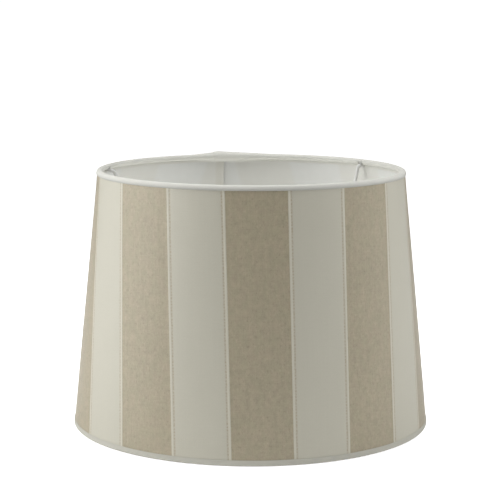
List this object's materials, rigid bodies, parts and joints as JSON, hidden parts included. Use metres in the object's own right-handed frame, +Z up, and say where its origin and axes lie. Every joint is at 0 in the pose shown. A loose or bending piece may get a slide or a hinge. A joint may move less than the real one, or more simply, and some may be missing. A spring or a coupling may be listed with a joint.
{
  "type": "lamp shade",
  "caption": "Tapered drum lamp shade in broad beige and off-white woven stripes, lapped at the back, with white trim tapes and a recessed wire spider for a lamp holder.",
  "frame": {"origin": "centre of the plane that the bottom trim stands on, on the shade's axis", "axes": "+Z up along the shade's axis from the wide end to the narrow end; +Y towards the glued seam at the back; one spider arm points to -Y"},
  "size_m": [0.3494, 0.3522, 0.25],
  "materials": {
    "striped_cloth": "plain weave linen look, beige and off-white stripes",
    "liner_plastic": "satin white",
    "adhesive_tape": "clear adhesive strip",
    "trim_tape": "white woven tape",
    "white_wire": "glossy white powder coat"
  },
  "bodies": {
    "root": {"striped_cover": "striped_cloth", "styrene_liner": "liner_plastic", "seam_tape": "adhesive_tape", "top_ring": "white_wire", "bottom_ring": "white_wire", "top_trim": "trim_tape", "bottom_trim": "trim_tape", "spider_arm_front": "white_wire", "spider_arm_right": "white_wire", "spider_arm_left": "white_wire", "fitter_hub": "white_wire"}
  },
  "joints": []
}
